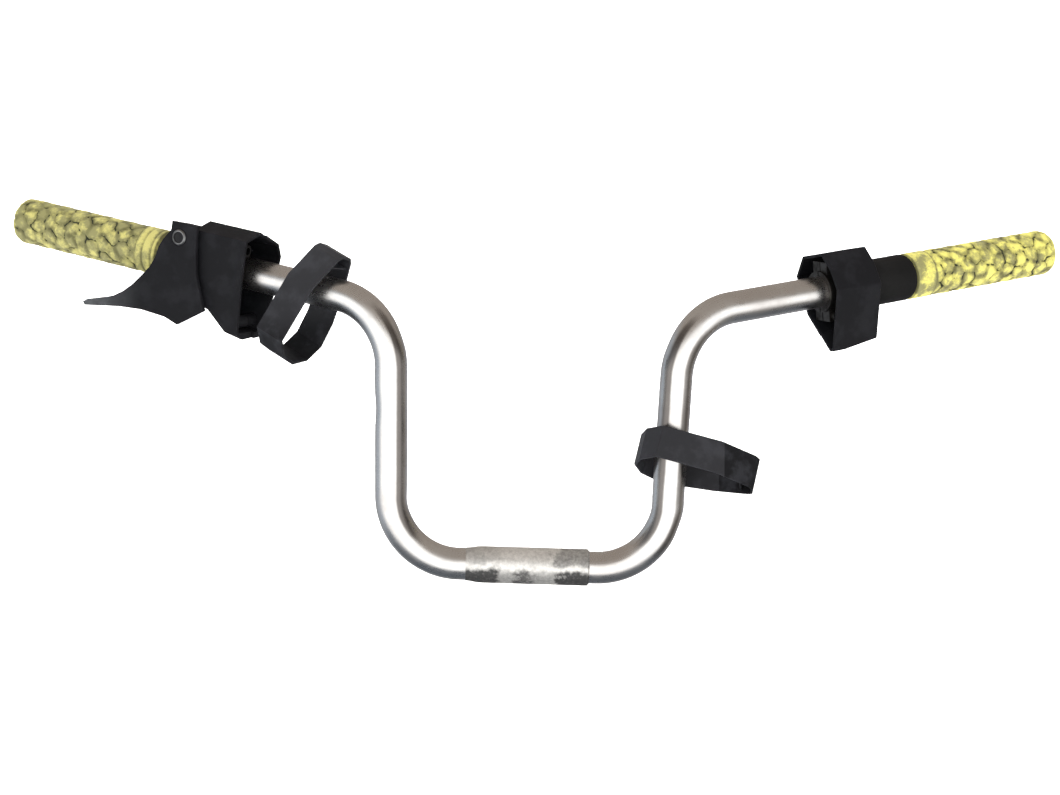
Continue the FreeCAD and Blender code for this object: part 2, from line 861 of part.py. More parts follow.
def make_pivot_bushes():
    """Two plain bushes, one in each wall of the nose."""
    along = size("pivot_along")
    height = size("pivot_height")
    front = size("lever_face") + 2.0
    bushes = []
    for name, low, high in (("front", front - 0.1, front + 3.6), ("rear", 7.0, 13.5)):
        outer = rod(
            name + "_bush_outer", "dims.bush_radius", (along, low, height), (along, high, height)
        )
        bore = rod(
            name + "_bush_bore",
            "dims.pivot_shaft_radius + dims.pivot_running_gap",
            (along, low - 1.0, height),
            (along, high + 1.0, height),
        )
        bushes.append(cut(name + "_bush", outer, bore))
    node = "lever_pivot_bushes"
    finish(node, group("pivot_bush_set", bushes), grip_frame(-1, size("throttle_station")))


def make_return_spring():
    """Coil around the pivot shaft, between the cable drum and the rear bush."""
    helix = Part.makeHelix(size("spring_pitch"), size("spring_length"), size("spring_radius"))
    wire = Part.Wire(helix.Edges)
    start = Vector(size("spring_radius"), 0, 0)
    circle = Part.makeCircle(size("spring_wire_radius"), start, Vector(0, 1, 0))
    coil = wire.makePipeShell([Part.Wire([circle])], True, True)
    spring = doc.addObject("Part::Feature", "throttle_return_spring")
    spring.Shape = coil
    along_shaft = Placement(Vector(), Rotation(Vector(0, 0, 1), Vector(1, 0, 0)))
    finish("throttle_return_spring", spring, pivot_frame(-13.0).multiply(along_shaft))


def make_cable_adjuster():
    """Threaded adjuster with a socket for the end of a throttle cable, and its locknut."""
    thread = size("adjuster_thread_radius")
    head = size("adjuster_head_radius")
    socket = size("cable_socket_radius")
    end = 17.0
    shoulder = end - size("cable_socket_depth")
    profile = [
        (0.0, 1.1), (shoulder, 1.1), (shoulder, socket), (end, socket), (end, head - 0.4),
        (end - 0.4, head), (9.2, head), (8.8, head - 0.4), (8.8, thread), (0.4, thread),
        (0.0, thread - 0.4),
    ]
    held = (
        (2, "DistanceY", "dims.cable_socket_radius"),
        (3, "DistanceY", "dims.cable_socket_radius"),
        (8, "DistanceY", "dims.adjuster_thread_radius"),
        (9, "DistanceY", "dims.adjuster_thread_radius"),
    )
    place = Vector(3.0, size("adjuster_depth"), size("adjuster_height"))
    frame = grip_frame(-1, size("throttle_station")).multiply(Placement(place, Rotation()))
    body = turned_body("cable_adjuster", profile, held)
    finish("cable_adjuster", body, frame)

    nut = prism("locknut_blank", "x", hexagon(8.0, (0.0, 0.0)), 5.6, 8.0)
    bore = rod("locknut_bore", "dims.adjuster_thread_radius", (0.0, 0, 0), (10.0, 0, 0))
    finish("cable_adjuster_locknut", cut("locknut", nut, bore), frame)


# -------------------------------------------------------------------- straps

# Teardrop outline of a strap as (from the narrow end, across).
STRAP_OUTLINE = [
    (0.0, -4.5), (3.0, -7.5), (26.5, -16.5), (48.5, -21.5), (66.5, -21.5), (78.5, -13.0),
    (83.5, 2.0), (80.0, 16.0), (69.0, 28.5), (27.0, 23.0), (3.0, 9.5), (0.0, 5.0),
]
STRAP_WEB_OUTLINE = [(7.6, -9.0), (8.8, -9.6), (11.4, 12.2), (10.2, 11.8)]


def make_strap(node, centre, width_axis, length_axis, cross_point):
    """Moulded band; its outline is centred where the bar passes through it."""
    width_axis = Vector(*width_axis).normalize()
    length_axis = Vector(*length_axis)
    length_axis = (length_axis - width_axis * length_axis.dot(width_axis)).normalize()
    across = width_axis.cross(length_axis)
    turn = Rotation(length_axis, across, width_axis, "ZXY")

    body = doc.addObject("PartDesign::Body", node)
    moved = [(x - cross_point[0], y - cross_point[1]) for x, y in STRAP_OUTLINE]
    band = body_sketch(body, node + "_band_outline", "XY_Plane", 0.0)
    draw_loop(band, moved)
    draw_loop(band, inset(moved, size("strap_wall")))
    add_pad(body, node + "_band", band, "dims.strap_width")
    web = body_sketch(body, node + "_web_outline", "XY_Plane", 2.0)
    draw_loop(web, [(x - cross_point[0], y - cross_point[1]) for x, y in STRAP_WEB_OUTLINE])
    add_pad(body, node + "_web", web, size("strap_width") - 4.0)
    finish(node, body, Placement(Vector(*centre), turn))


def make_straps():
    """One strap hangs on the throttle side of the bar, one leans on the far riser."""
    bar = riser_corner(-1) + grip_direction(-1) * 49.0
    make_strap(
        "throttle_side_strap",
        (bar.x, bar.y, bar.z),
        (-0.770, 0.518, 0.373),
        (-0.425, 0.020, -0.905),
        (27.0, 0.0),
    )
    riser = (riser_corner(1) - Vector(size("base_half"), 0, 0)).normalize()
    place = Vector(size("base_half"), 0, 0) + riser * 66.0
    make_strap(
        "riser_strap",
        (place.x, place.y, place.z),
        (0.216, 0.463, 0.860),
        (-0.967, 0.160, 0.197),
        (58.0, -4.6),
    )


# ----------------------------------------------------------------- assembly

make_handlebar_tube()
make_clamp_sleeve()
make_grips()
make_control_side_spacer()
THROTTLE_FRAME = grip_frame(-1, size("throttle_station"))
CONTROL_FRAME = grip_frame(1, size("control_station"))
make_throttle_shell("throttle_front_shell", -1)
make_throttle_shell("throttle_rear_shell", 1)
make_shell_screws("throttle", THROTTLE_FRAME, THROTTLE_SHELL_SCREWS)
make_collar("throttle", THROTTLE_FRAME, -1.0)
make_throttle_lever()
make_pivot_parts()
make_pivot_bushes()
make_return_spring()
make_cable_adjuster()
make_control_shell("control_front_shell", -1)
make_control_shell("control_rear_shell", 1)
make_shell_screws("control", CONTROL_FRAME, CONTROL_SHELL_SCREWS)
make_collar("control", CONTROL_FRAME, -10.0)
make_straps()
doc.recompute()

for thing in doc.Objects:
    if "Invalid" in thing.State or "Error" in thing.State:
        raise RuntimeError(thing.Name + " is in state " + str(thing.State))

for node, thing in FINISHED:
    shape = thing.Shape
    if shape.isNull() or not shape.isValid():
        raise RuntimeError(node + " has a bad shape")
    shape.exportStep("parts/%s.step" % node)
    box = shape.BoundBox
    print("%-24s solids %d volume %9.1f  x %.1f..%.1f y %.1f..%.1f z %.1f..%.1f" % (
        node, len(shape.Solids), shape.Volume,
        box.XMin, box.XMax, box.YMin, box.YMax, box.ZMin, box.ZMax,
    ))
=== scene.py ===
import json
import math

import bmesh
import bpy
import numpy as np
from mathutils import Matrix, Vector


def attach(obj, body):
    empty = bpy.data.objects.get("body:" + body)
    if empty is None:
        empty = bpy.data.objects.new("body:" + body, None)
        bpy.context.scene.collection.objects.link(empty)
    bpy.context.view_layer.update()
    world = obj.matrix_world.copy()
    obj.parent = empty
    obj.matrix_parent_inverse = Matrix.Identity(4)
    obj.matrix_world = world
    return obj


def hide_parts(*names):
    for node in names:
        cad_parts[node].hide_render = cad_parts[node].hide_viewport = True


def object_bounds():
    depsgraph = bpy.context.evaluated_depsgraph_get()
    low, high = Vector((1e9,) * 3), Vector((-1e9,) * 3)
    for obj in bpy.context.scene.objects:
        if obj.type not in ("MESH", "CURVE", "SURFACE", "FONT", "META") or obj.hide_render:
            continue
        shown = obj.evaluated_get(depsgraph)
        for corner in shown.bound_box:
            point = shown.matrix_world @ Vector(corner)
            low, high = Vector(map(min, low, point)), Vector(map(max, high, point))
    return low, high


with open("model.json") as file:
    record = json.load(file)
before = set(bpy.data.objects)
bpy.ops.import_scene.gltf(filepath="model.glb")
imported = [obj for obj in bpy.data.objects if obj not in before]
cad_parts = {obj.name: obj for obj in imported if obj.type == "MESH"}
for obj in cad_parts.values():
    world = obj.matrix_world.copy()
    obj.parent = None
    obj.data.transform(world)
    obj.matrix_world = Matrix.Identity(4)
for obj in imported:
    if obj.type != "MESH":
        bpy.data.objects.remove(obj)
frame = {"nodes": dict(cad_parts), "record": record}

CAD_LOW, CAD_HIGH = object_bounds()

MM = 0.001

# Sizes of the handlebar, the same as in the CAD, in millimetres and degrees.
TUBE_RADIUS = 11.1
TUBE_WALL = 2.0
BASE_HALF = 94.0
CORNER_HALF = 98.5
RISE = 176.0
BAR_END = 311.0
BEND_RADIUS = 48.0
PULLBACK = math.radians(28.0)
UPSWEEP = math.radians(7.5)
SLEEVE_RADIUS = 12.7
SLEEVE_HALF = 42.5
SLEEVE_DROP = 1.25
LONG_SHOULDER = 11.0
SHORT_SHOULDER = 1.2
KNURL_PITCH = 1.5
GRIP_RADIUS = 16.0
GRIP_STARTS = {-1: 187.0, 1: 192.2}
GRIP_ENDS = {-1: 316.0, 1: 322.0}


# ------------------------------------------------------------- place on the bar


def grip_direction(side):
    """Unit vector along a grip, from the bend outward. side is -1 or 1 along X."""
    level = math.cos(UPSWEEP)
    return Vector((side * level * math.cos(PULLBACK), level * math.sin(PULLBACK), math.sin(UPSWEEP)))


def riser_corner(side):
    """Where a riser's line meets its grip's line, before the bend is rounded."""
    return Vector((side * CORNER_HALF, 0.0, RISE))


def frame_along(origin, direction, above=Vector((0, 0, 1))):
    """Placement with local X along direction and local Z as near to above as it can be."""
    along = direction.normalized()
    up = (above - along * above.dot(along)).normalized()
    rear = up.cross(along)
    turn = Matrix((along, rear, up)).transposed().to_4x4()
    return Matrix.Translation(origin) @ turn


def smooth_step(low, high, value):
    share = np.clip((value - low) / (high - low), 0.0, 1.0)
    return share * share * (3.0 - 2.0 * share)


def bump_at(value, centre, width):
    """Smooth hump of height 1 at centre."""
    return np.exp(-((value - centre) / width) ** 2)


# ----------------------------------------------------------------- mesh helpers


def add_float(mesh, name, values):
    layer = mesh.attributes.new(name, "FLOAT", "POINT")
    layer.data.foreach_set("value", np.asarray(values, np.float32))


def mesh_object(name, points, faces, smooth=True):
    mesh = bpy.data.meshes.new(name)
    mesh.from_pydata([tuple(point) for point in points], [], faces)
    mesh.update()
    mesh.shade_smooth() if smooth else mesh.shade_flat()
    piece = bpy.data.objects.new(name, mesh)
    bpy.context.scene.collection.objects.link(piece)
    return piece


def ring_faces(rings, around, first=0):
    """Quads between rows of points that close round."""
    faces = []
    for row in range(rings - 1):
        for step in range(around):
            after = (step + 1) % around
            low, high = first + row * around, first + (row + 1) * around
            faces.append((low + step, low + after, high + after, high + step))
    return faces


def add_metric_uv(mesh, along, turn, length, radius):
    """UV in metres: U runs along the piece and V runs round it, without a seam jump."""
    layer = mesh.uv_layers.new(name="surface")
    around = 2.0 * math.pi * radius
    for face in mesh.polygons:
        turns = [turn[index] for index in face.vertices]
        wrapped = max(turns) - min(turns) > 0.5
        for loop, index in zip(face.loop_indices, face.vertices):
            share = turn[index]
            if wrapped and share < 0.5:
                share += 1.0
            layer.data[loop].uv = (along[index] * length, share * around)


def own_piece(piece, body, node, material):
    """A finished piece that stands for a CAD node."""
    piece.data.materials.clear()
    piece.data.materials.append(material)
    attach(piece, body)
    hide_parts(node)
    return piece


# --------------------------------------------------------------- node shortcuts


class Nodes:
    """Builds one node tree with short calls."""

    def __init__(self, tree):
        self.tree = tree

    def link(self, source, target):
        self.tree.links.new(source, target)

    def place(self):
        return self.tree.nodes.new("ShaderNodeTexCoord").outputs["Object"]

    def uv(self):
        return self.tree.nodes.new("ShaderNodeTexCoord").outputs["UV"]

    def attribute(self, name):
        node = self.tree.nodes.new("ShaderNodeAttribute")
        node.attribute_name = name
        return node.outputs["Fac"]

    def stretch(self, vector, scale):
        node = self.tree.nodes.new("ShaderNodeMapping")
        node.inputs["Scale"].default_value = scale
        self.link(vector, node.inputs["Vector"])
        return node.outputs["Vector"]

    def noise(self, vector, scale, detail=4.0, rough=0.55):
        node = self.tree.nodes.new("ShaderNodeTexNoise")
        node.inputs["Scale"].default_value = scale
        node.inputs["Detail"].default_value = detail
        node.inputs["Roughness"].default_value = rough
        self.link(vector, node.inputs["Vector"])
        return node.outputs["Fac"]

    def spread(self, value, low, high, out_low=0.0, out_high=1.0):
        node = self.tree.nodes.new("ShaderNodeMapRange")
        node.interpolation_type = "SMOOTHSTEP"
        node.inputs["From Min"].default_value = low
        node.inputs["From Max"].default_value = high
        node.inputs["To Min"].default_value = out_low
        node.inputs["To Max"].default_value = out_high
        if isinstance(value, (int, float)):
            node.inputs["Value"].default_value = value
        else:
            self.link(value, node.inputs["Value"])
        return node.outputs["Result"]

    def math(self, kind, first, second=0.0):
        node = self.tree.nodes.new("ShaderNodeMath")
        node.operation = kind
        for socket, value in zip(node.inputs, (first, second)):
            if isinstance(value, (int, float)):
                socket.default_value = value
            else:
                self.link(value, socket)
        return node.outputs["Value"]

    def mix(self, share, first, second):
        node = self.tree.nodes.new("ShaderNodeMix")
        node.data_type = "RGBA"
        if isinstance(share, (int, float)):
            node.inputs["Factor"].default_value = share
        else:
            self.link(share, node.inputs["Factor"])
        for name, value in (("A", first), ("B", second)):
            socket = [s for s in node.inputs if s.name == name and s.type == "RGBA"][0]
            if isinstance(value, tuple):
                socket.default_value = (*value, 1.0)
            else:
                self.link(value, socket)
        return [s for s in node.outputs if s.type == "RGBA"][0]

    def upward(self):
        """How far the surface faces up, from 0 to 1."""
        normal = self.tree.nodes.new("ShaderNodeNewGeometry").outputs["Normal"]
        split = self.tree.nodes.new("ShaderNodeSeparateXYZ")
        self.link(normal, split.inputs["Vector"])
        return self.spread(split.outputs["Z"], 0.2, 1.0)

    def axis(self, vector, name):
        split = self.tree.nodes.new("ShaderNodeSeparateXYZ")
        self.link(vector, split.inputs["Vector"])
        return split.outputs[name]

    def window(self, value, low, high, soft):
        """1 between low and high, falling softly to 0 outside them."""
        rise = self.spread(value, low - soft, low + soft)
        fall = self.spread(value, high - soft, high + soft, 1.0, 0.0)
        return self.math("MULTIPLY", rise, fall)

    def bump(self, height, strength, distance, onto=None):
        node = self.tree.nodes.new("ShaderNodeBump")
        node.inputs["Strength"].default_value = strength
        node.inputs["Distance"].default_value = distance
        self.link(height, node.inputs["Height"])
        if onto is not None:
            self.link(onto, node.inputs["Normal"])
        return node.outputs["Normal"]


class Finish(Nodes):
    """One material with a principled shader."""

    def __init__(self, name):
        self.material = bpy.data.materials.new(name)
        self.material.use_nodes = True
        super().__init__(self.material.node_tree)
        self.shader = self.tree.nodes["Principled BSDF"]

    def apply(self, color, roughness, normal=None, metallic=0.0, specular=0.5):
        self.link(color, self.shader.inputs["Base Color"])
        self.link(roughness, self.shader.inputs["Roughness"])
        self.shader.inputs["Metallic"].default_value = metallic
        self.shader.inputs["Specular IOR Level"].default_value = specular
        if normal is not None:
            self.link(normal, self.shader.inputs["Normal"])
        return self.material


# -------------------------------------------------------------------- materials


def polished_steel_material():
    """Old polished stainless tube: brushed, dulled in patches, with painted shade along one side in
    place of a darker reflection.
    """
    m = Finish("polished_steel")
    uv = m.uv()
    place = m.place()
    patches = m.noise(place, 26.0, 5.0, 0.6)
    cloud = m.noise(place, 85.0, 6.0, 0.65)
    rings = m.noise(m.stretch(uv, (900.0, 9.0, 1.0)), 1.0, 3.0, 0.6)
    lines = m.noise(m.stretch(uv, (18.0, 1400.0, 1.0)), 1.0, 3.0, 0.6)
    clean = m.mix(m.spread(patches, 0.35, 0.7), (0.67, 0.66, 0.64), (0.60, 0.575, 0.55))
    dulled = m.mix(m.spread(cloud, 0.5, 0.78, 0.0, 0.3), clean, (0.42, 0.39, 0.36))
    brushed = m.mix(m.spread(rings, 0.35, 0.7, 0.0, 0.12), dulled, (0.47, 0.46, 0.45))
    # Painted shade: colour darkened along the risers in place of a darker reflection, and all through
    # the bore.
    painted_shade = m.math("ADD", m.attribute("painted_shade"), m.spread(patches, 0.3, 0.7, -0.1, 0.1))
    color = m.mix(m.spread(painted_shade, 0.08, 0.95), brushed, (0.155, 0.142, 0.132))
    rough = m.math(
        "ADD", m.spread(cloud, 0.3, 0.75, 0.22, 0.33), m.spread(lines, 0.3, 0.7, 0.0, 0.05)
    )
    soft = m.noise(place, 26.0, 1.0, 0.4)
    normal = m.bump(soft, 0.12, 0.0008)
    return m.apply(color, rough, normal, metallic=1.0)


def worn_steel_material():
    """Clamp section: worn fine knurl, with black grime near both ends and underneath."""
    m = Finish("worn_steel")
    uv = m.uv()
    place = m.place()
    blotch = m.noise(place, 62.0, 6.0, 0.62)
    fine = m.noise(place, 420.0, 5.0, 0.7)
    along = m.math("ADD", m.axis(place, "X"), m.spread(blotch, 0.25, 0.75, -0.008, 0.008))
    height = m.math("ADD", m.axis(place, "Z"), m.spread(blotch, 0.25, 0.75, -0.003, 0.003))
    under = m.spread(height, -0.0035, 0.001, 1.0, 0.0)
    above = m.spread(height, 0.0015, 0.005)
    left = m.window(along, -0.046, -0.021, 0.004)
    middle = m.window(along, -0.008, 0.002, 0.004)
    right = m.window(along, 0.021, 0.052, 0.003)
    below = m.math("MAXIMUM", m.math("MAXIMUM", left, right), m.math("MULTIPLY", middle, 0.75))
    below = m.math("MULTIPLY", under, m.math("ADD", m.math("MULTIPLY", below, 0.72), 0.34))
    over = m.math("ADD", m.math("MULTIPLY", right, 0.45), m.math("MULTIPLY", left, 0.22))
    over = m.math("MULTIPLY", above, m.math("ADD", over, 0.04))
    grime = m.math("ADD", m.math("MAXIMUM", below, over), m.spread(blotch, 0.45, 0.7, 0.0, 0.16))
    grime = m.math("MULTIPLY", grime, m.spread(fine, 0.25, 0.6, 0.7, 1.0))
    grime = m.math("MINIMUM", grime, 0.94)
    steel = m.mix(m.spread(fine, 0.35, 0.7), (0.76, 0.745, 0.71), (0.60, 0.585, 0.555))
    color = m.mix(grime, steel, (0.045, 0.045, 0.046))
    knurl = m.noise(m.stretch(uv, (900.0, 900.0, 1.0)), 1.0, 2.0, 0.5)
    rough = m.math("ADD", m.spread(grime, 0.0, 0.9, 0.46, 0.6), m.spread(fine, 0.3, 0.7, 0.0, 0.06))
    normal = m.bump(knurl, 0.35, 0.00015)
    normal = m.bump(blotch, 0.3, 0.0006, normal)
    return m.apply(color, rough, normal, metallic=0.78)


def yellow_rubber_material():
    """Yellow rubber scales with olive dirt worked into them and dark cracks between."""
    m = Finish("yellow_rubber")
    place = m.place()
    right = m.spread(m.axis(place, "X"), -0.05, 0.05)
    smear = m.noise(place, 95.0, 5.0, 0.62)
    grain = m.noise(place, 420.0, 5.0, 0.7)
    speck = m.noise(place, 1300.0, 3.0, 0.7)
    olive = m.math("ADD", m.spread(smear, 0.40, 0.58, 0.05, 1.0), m.spread(grain, 0.3, 0.7, -0.26, 0.26))
    olive = m.math("ADD", olive, m.math("MULTIPLY", m.attribute("tone"), 0.32))
    olive = m.math("ADD", olive, m.spread(right, 0.0, 1.0, 0.06, -0.24))
    olive = m.math("MINIMUM", m.math("MAXIMUM", olive, 0.0), 1.0)
    yellow = m.mix(right, (0.63, 0.59, 0.20), (0.84, 0.79, 0.20))
    rubber = m.mix(olive, yellow, (0.29, 0.28, 0.12))
    soil = m.math("MULTIPLY", m.attribute("soil"), m.spread(smear, 0.35, 0.6, 0.45, 0.95))
    soil = m.math("ADD", soil, m.spread(speck, 0.45, 0.75, -0.05, 0.2))
    soiled = m.mix(m.math("MAXIMUM", soil, 0.0), rubber, (0.125, 0.12, 0.048))
    core = m.mix(m.spread(smear, 0.40, 0.60), (0.035, 0.04, 0.02), (0.011, 0.016, 0.009))
    crack = m.attribute("crack")
    color = m.mix(m.spread(crack, 0.1, 0.6, 0.0, 0.97), soiled, core)
    rough = m.math(
        "ADD", m.spread(grain, 0.3, 0.7, 0.56, 0.74), m.spread(crack, 0.2, 0.9, 0.0, 0.15)
    )
    normal = m.bump(grain, 0.5, 0.0005)
    normal = m.bump(speck, 0.35, 0.0002, normal)
    return m.apply(color, rough, normal, specular=0.3)


# Colour of painted shade, on strap faces turned away from the light.
PAINTED_SHADE_BLACK = (0.0045, 0.0045, 0.0047)
# Pale grey: painted light on the hanging strap's upper part, and the thumb lever's paler tip.
PALE_TONE = (0.105, 0.113, 0.12)


def black_moulded_material(name, base, dusty, rough, dust, specular, zones=None):
    """Black moulded plastic or rubber: fine grain, edge wear and a little dust on top.

    zones gives the share of painted shade and of pale tone from the place on the bar.
    """
    m = Finish(name)
    place = m.place()
    grain = m.noise(place, 1500.0, 2.0, 0.6)
    cloud = m.noise(place, 48.0, 5.0, 0.6)
    scuff = m.noise(m.stretch(place, (60.0, 260.0, 90.0)), 1.0, 4.0, 0.65)
    edge = m.attribute("edge")
    worn_edge = m.math("MULTIPLY", edge, m.spread(cloud, 0.45, 0.62, 0.1, 0.5))
    top = m.math("MULTIPLY", m.upward(), m.spread(cloud, 0.38, 0.68, 0.1, 1.0))
    body = m.mix(m.spread(cloud, 0.35, 0.7), base, tuple(c * 1.12 for c in base))
    body = m.mix(m.math("MULTIPLY", top, dust), body, dusty)
    body = m.mix(m.spread(scuff, 0.6, 0.8, 0.0, 0.1), body, dusty)
    # Painted shade and pale tone by place on the bar; under the painted shade the specular is lowered
    # too.
    if zones is not None:
        shade, pale = zones(m, place)
        body = m.mix(shade, body, PAINTED_SHADE_BLACK)
        body = m.mix(pale, body, PALE_TONE)
    color = m.mix(worn_edge, body, dusty)
    roughness = m.math(
        "ADD", m.spread(cloud, 0.3, 0.7, rough, rough + 0.05), m.spread(scuff, 0.4, 0.8, 0.0, 0.05)
    )
    normal = m.bump(grain, 0.25, 0.00012)
    if zones is not None:
        shine = m.spread(shade, 0.0, 1.0, specular, specular * 0.3)
        m.link(shine, m.shader.inputs["Specular IOR Level"])
    return m.apply(color, roughness, normal, specular=specular)


def strap_zones(m, place):
    """Painted shade on the riser strap's outer panel that faces away from the light and on the hanging
    strap's lower part, with painted light on the hanging strap's upper part.
    """
    along = m.axis(place, "X")
    height = m.axis(place, "Z")
    painted_shade_panel = m.spread(along, 0.1303, 0.1308, 0.0, 0.9)
    hanging = m.spread(along, -0.02, 0.0, 1.0, 0.0)
    painted_shade_low = m.math("MULTIPLY", hanging, m.spread(height, 0.150, 0.175, 0.75, 0.0))
    painted_light_high = m.math("MULTIPLY", hanging, m.spread(height, 0.170, 0.205, 0.0, 0.06))
    return m.math("MAXIMUM", painted_shade_panel, painted_shade_low), painted_light_high


def lever_zones(m, place):
    """The thumb lever is paler toward its tip, and has no painted shade."""
    pale = m.spread(m.axis(place, "X"), -0.312, -0.276, 0.85, 0.0)
    return 0.0, pale


def metal_material(name, bright, dull, rough_low, rough_high):
    """Small hardware: plated or bright metal with dull patches and fine scratches."""
    m = Finish(name)
    place = m.place()
    cloud = m.noise(place, 160.0, 5.0, 0.6)
    scratch = m.noise(m.stretch(place, (300.0, 300.0, 3000.0)), 1.0, 3.0, 0.6)
    color = m.mix(m.spread(cloud, 0.38, 0.68), bright, dull)
    color = m.mix(m.spread(scratch, 0.55, 0.75, 0.0, 0.3), color, tuple(c * 0.6 for c in dull))
    rough = m.spread(cloud, 0.3, 0.7, rough_low, rough_high)
    normal = m.bump(scratch, 0.12, 0.00008)
    return m.apply(color, rough, normal, metallic=1.0)


def floor_material():
    """Even, faintly clouded white that glows a little, so that the floor stays clean."""
    m = Finish("studio_floor")
    cloud = m.noise(m.place(), 3.0, 3.0, 0.5)
    color = m.mix(cloud, (0.93, 0.93, 0.93), (0.96, 0.96, 0.96))
    rough = m.spread(cloud, 0.3, 0.7, 0.85, 0.95)
    m.link(color, m.shader.inputs["Emission Color"])
    m.shader.inputs["Emission Strength"].default_value = FLOOR_GLOW
    return m.apply(color, rough, specular=0.1)


MATERIALS = {
    "polished_steel": polished_steel_material(),
    "worn_steel": worn_steel_material(),
    "yellow_rubber": yellow_rubber_material(),
    "black_rubber": black_moulded_material(
        "black_rubber", (0.0074, 0.0074, 0.0075), (0.016, 0.016, 0.016), 0.62, 0.1, 0.1
    ),
    "black_plastic": black_moulded_material(
        "black_plastic", (0.0066, 0.0068, 0.0082), (0.018, 0.0185, 0.022), 0.56, 0.1, 0.11
    ),
    # The straps' material carries painted shade and painted light by place, through strap_zones.
    "strap_plastic": black_moulded_material(
        "strap_plastic", (0.0185, 0.0190, 0.0220), (0.045, 0.047, 0.055), 0.48, 0.2, 0.2, strap_zones
    ),
    "pale_tip_lever": black_moulded_material(
        "pale_tip_lever", (0.0066, 0.0068, 0.0082), (0.018, 0.0185, 0.022), 0.56, 0.1, 0.11, lever_zones
    ),
    # Zinc colours set far darker than bright zinc: painted shade for the collars that sit inside the
    # housings.
    "zinc_steel": metal_material("zinc_steel", (0.075, 0.07, 0.065), (0.035, 0.033, 0.031), 0.4, 0.6),
    "bright_steel": metal_material("bright_steel", (0.20, 0.20, 0.20), (0.10, 0.10, 0.10), 0.3, 0.45),
    "black_hardware": metal_material(
        "black_hardware", (0.02, 0.02, 0.022), (0.03, 0.03, 0.03), 0.4, 0.5
    ),
    "bush_brass": metal_material("bush_brass", (0.62, 0.45, 0.20), (0.42, 0.30, 0.14), 0.25, 0.4),
}


# -------------------------------------------------------- bar and clamp section

TUBE_AROUND = 96


def bar_path():
    """Points and directions along the bar's centreline, close together in the bends."""
    corners = [
        riser_corner(-1),
        Vector((-BASE_HALF, 0, 0)),
        Vector((BASE_HALF, 0, 0)),
        riser_corner(1),
    ]
    ends = [
        riser_corner(-1) + grip_direction(-1) * BAR_END,
        riser_corner(1) + grip_direction(1) * BAR_END,
    ]
    chain = [ends[0]] + corners + [ends[1]]
    rows = [chain[0]]
    for before, corner, after in zip(chain, chain[1:], chain[2:]):
        came = (corner - before).normalized()
        goes = (after - corner).normalized()
        turn = came.angle(goes)
        reach = BEND_RADIUS * math.tan(turn / 2.0)
        inward = (goes - came).normalized()
        centre = corner + inward * (BEND_RADIUS / math.cos(turn / 2.0))
        start = corner - came * reach
        axis = came.cross(goes).normalized()
        steps = max(int(math.degrees(turn) / 2.5), 4)
        rows += run_points(rows[-1], start)
        for step in range(1, steps + 1):
            spin = Matrix.Rotation(turn * step / steps, 3, axis)
            rows.append(centre + spin @ (start - centre))
    rows += run_points(rows[-1], chain[-1])
    return rows


def run_points(start, end):
    """Points of a straight run after start, about 4 mm apart, with its end."""
    count = max(int((end - start).length / 4.0), 1)
    return [start.lerp(end, step / count) for step in range(1, count + 1)]


def sweep_frames(rows):
    """A direction and a carried-along side vector at each point, without twist."""
    directions = []
    for index in range(len(rows)):
        before = rows[max(index - 1, 0)]
        after = rows[min(index + 1, len(rows) - 1)]
        directions.append((after - before).normalized())
    side = directions[0].cross(Vector((0, 0, 1))).normalized()
    frames = []
    for direction in directions:
        side = (side - direction * side.dot(direction)).normalized()
        frames.append((direction, side, direction.cross(side)))
    return frames


def tube_wall(rows, frames, radius_at, painted_shade_at):
    """Points of one wall of the tube, with each point's share of a turn and its painted shade."""
    points = []
    turn = []
    painted_shade = []
    for point, (direction, side, rise) in zip(rows, frames):
        for step in range(TUBE_AROUND):
            angle = 2.0 * math.pi * step / TUBE_AROUND
            out = side * math.cos(angle) + rise * math.sin(angle)
            spot = point + out * TUBE_RADIUS
            points.append((point + out * radius_at(spot, out)) * MM)
            turn.append(step / TUBE_AROUND)
            painted_shade.append(painted_shade_at(spot, direction, out))
    return points, turn, painted_shade


def make_tube():
    """The bent tube, slightly dented and rippled where it was bent."""
    rows = bar_path()
    frames = sweep_frames(rows)
    lengths = [0.0]
    for first, second in zip(rows, rows[1:]):
        lengths.append(lengths[-1] + (second - first).length)
    points, turn, painted_shade = tube_wall(
        rows, frames, lambda spot, out: TUBE_RADIUS + tube_dent(spot, out), tube_painted_shade
    )
    # The bore gets full painted shade.
    inner, inner_turn, inner_painted_shade = tube_wall(
        rows, frames, lambda spot, out: TUBE_RADIUS - TUBE_WALL, lambda spot, direction, out: 1.0
    )
    outer = len(points)
    faces = ring_faces(len(rows), TUBE_AROUND)
    faces += [face[::-1] for face in ring_faces(len(rows), TUBE_AROUND, outer)]
    last = (len(rows) - 1) * TUBE_AROUND
    for step in range(TUBE_AROUND):
        after = (step + 1) % TUBE_AROUND
        faces.append((outer + step, outer + after, after, step))
        faces.append((last + step, last + after, outer + last + after, outer + last + step))
    along = [length * MM for length in lengths for step in range(TUBE_AROUND)] * 2
    piece = mesh_object("bar_tube", points + inner, faces)
    add_metric_uv(piece.data, along, turn + inner_turn, 1.0, TUBE_RADIUS * MM)
    add_float(piece.data, "painted_shade", painted_shade + inner_painted_shade)
    return own_piece(piece, "bar", "handlebar_tube", MATERIALS["polished_steel"])


